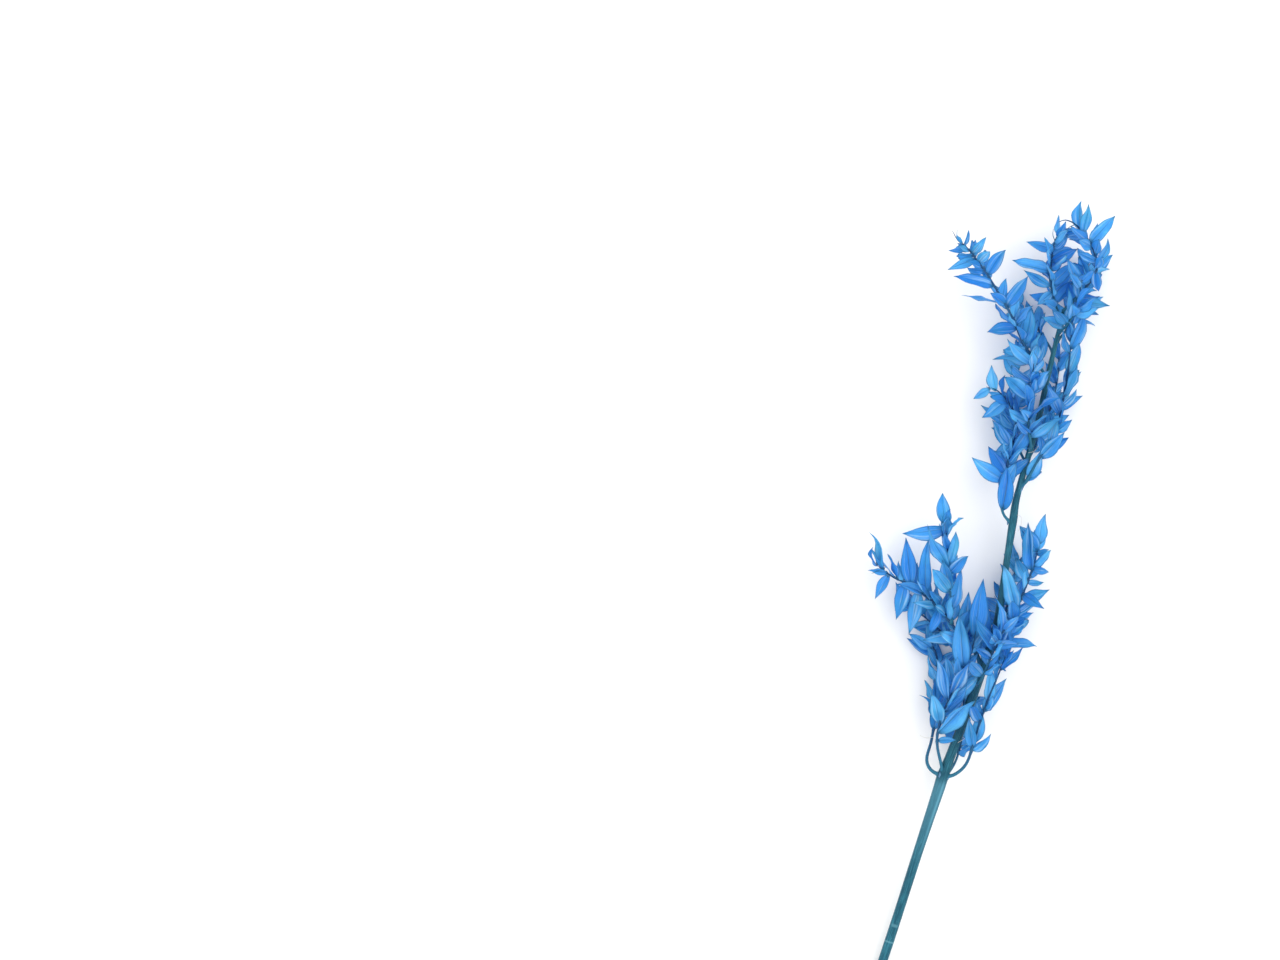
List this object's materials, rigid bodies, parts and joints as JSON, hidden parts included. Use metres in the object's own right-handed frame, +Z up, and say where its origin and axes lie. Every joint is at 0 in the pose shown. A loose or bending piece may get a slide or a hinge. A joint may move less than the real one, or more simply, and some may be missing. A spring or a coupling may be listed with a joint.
{
  "type": "dried ruscus stem",
  "caption": "Dried and dyed leafy ruscus stem: a slender woody stem with side twigs of small pointed leaves, laid flat for use in a dried arrangement.",
  "frame": {"origin": "middle of the object's box in plan, on the surface that it lies on", "axes": "+Y along the stem, from its cut end towards its tip; +X across it; +Z up, off the surface that it lies on"},
  "size_m": [0.122, 0.6056, 0.0527],
  "materials": {
    "stem": "dyed teal, satin, finely ridged lengthwise",
    "leaf": "dyed azure blue, papery, slightly translucent, satin"
  },
  "bodies": {
    "root": {"main_stem": "stem", "low_left_spray": "leaf", "low_inner_spray": "leaf", "low_right_spray": "leaf", "low_under_spray": "leaf", "middle_left_spray": "leaf", "middle_right_spray": "leaf", "middle_front_spray": "leaf", "middle_under_spray": "leaf", "middle_low_spray": "leaf", "upper_left_spray": "leaf", "upper_front_spray": "leaf", "upper_right_spray": "leaf", "upper_under_spray": "leaf", "upper_low_spray": "leaf", "long_left_spray": "leaf", "top_left_spray": "leaf", "top_right_spray": "leaf", "top_front_spray": "leaf", "top_under_spray": "leaf", "top_low_spray": "leaf"}
  },
  "joints": []
}
